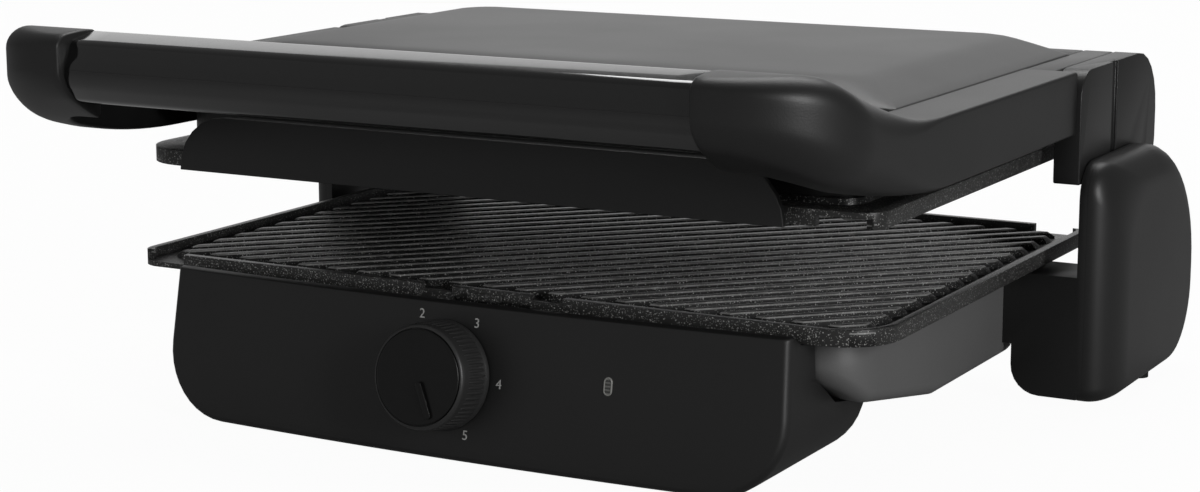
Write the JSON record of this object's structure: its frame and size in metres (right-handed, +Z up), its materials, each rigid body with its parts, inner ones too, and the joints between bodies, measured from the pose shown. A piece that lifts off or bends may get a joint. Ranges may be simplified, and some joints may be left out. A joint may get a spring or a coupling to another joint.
{
  "type": "electric indoor grill with lid",
  "caption": "Electric contact grill: ribbed cast plates face each other under a domed lid with a hoop handle, which floats and hinges between rear towers; front dial and pilot light.",
  "frame": {"origin": "on the table, under the middle of the object's footprint (halfway between the handle's front and the towers' backs, and on its left-right middle)", "axes": "+X to the object's right seen from its front, +Y from the control panel towards the towers, +Z up"},
  "size_m": [0.361, 0.335, 0.1484],
  "materials": {
    "tub_plastic": "satin moulded heat-proof plastic, mid grey where it faces the light",
    "housing_plastic": "satin moulded heat-proof plastic, charcoal",
    "foot_rubber": "matt black rubber",
    "screw_steel": "zinc plated",
    "heater_sheath": "dull tube sheath, darkened by heat",
    "tray_aluminium": "bright pressed sheet",
    "ceramic_body": "matt ivory",
    "lens_plastic": "milky window",
    "lamp_glass": "clear",
    "fuse_steel": "plain",
    "coated_casting": "die-cast aluminium with a speckled charcoal non-stick coating",
    "knob_plastic": "satin black",
    "knob_face_plastic": "half-gloss black",
    "shaft_steel": "ground",
    "block_plastic": "natural nylon",
    "dome_plastic": "satin moulded heat-proof plastic, grey where it faces the light",
    "apron_plastic": "satin black",
    "grip_gloss": "gloss black"
  },
  "bodies": {
    "base": {"base_tub": "tub_plastic", "control_housing": "housing_plastic", "housing_back": "housing_plastic", "tower_frame_left": "housing_plastic", "tower_frame_right": "housing_plastic", "tower_cover_left": "housing_plastic", "tower_cover_right": "housing_plastic", "rubber_feet": "foot_rubber", "tower_screws": "screw_steel", "lower_heating_element": "heater_sheath", "lower_reflector": "tray_aluminium", "thermostat": "ceramic_body", "pilot_lens": "lens_plastic", "pilot_lamp": "lamp_glass", "terminal_block": "ceramic_body", "thermal_fuse": "fuse_steel", "cord_gland": "foot_rubber", "lower_grill_plate": "coated_casting", "plate_screws": "screw_steel"},
    "knob": {"thermostat_knob": "knob_plastic", "knob_cap": "knob_face_plastic", "thermostat_shaft": "shaft_steel"},
    "hinge_slide": {"slide_block_left": "block_plastic", "slide_block_right": "block_plastic", "hinge_pin_left": "shaft_steel", "hinge_pin_right": "shaft_steel"},
    "lid": {"hinge_arm_left": "housing_plastic", "hinge_arm_right": "housing_plastic", "arm_pins": "shaft_steel", "lid_frame": "housing_plastic", "dome_cover": "dome_plastic", "upper_tub": "housing_plastic", "front_apron": "apron_plastic", "grip_bar": "grip_gloss", "grip_rod": "shaft_steel", "upper_heating_element": "heater_sheath", "upper_reflector": "tray_aluminium", "lid_screws": "screw_steel", "upper_grill_plate": "coated_casting"}
  },
  "joints": [
    {"name": "lid_height", "type": "slide", "parent": "base", "child": "hinge_slide", "axis": [0, 0, 1], "range_m": [-0.0333, 0]},
    {"name": "lid_open", "type": "hinge", "parent": "hinge_slide", "child": "lid", "pos_m": [0, 0.129, 0.0748], "axis": [-1, 0, 0], "range_deg": [0, 180]},
    {"name": "knob_turn", "type": "hinge", "parent": "base", "child": "knob", "pos_m": [-0.003, -0.11093, 0.031], "axis": [0, 0.9877, -0.1564], "range_deg": [-311, 0]}
  ]
}
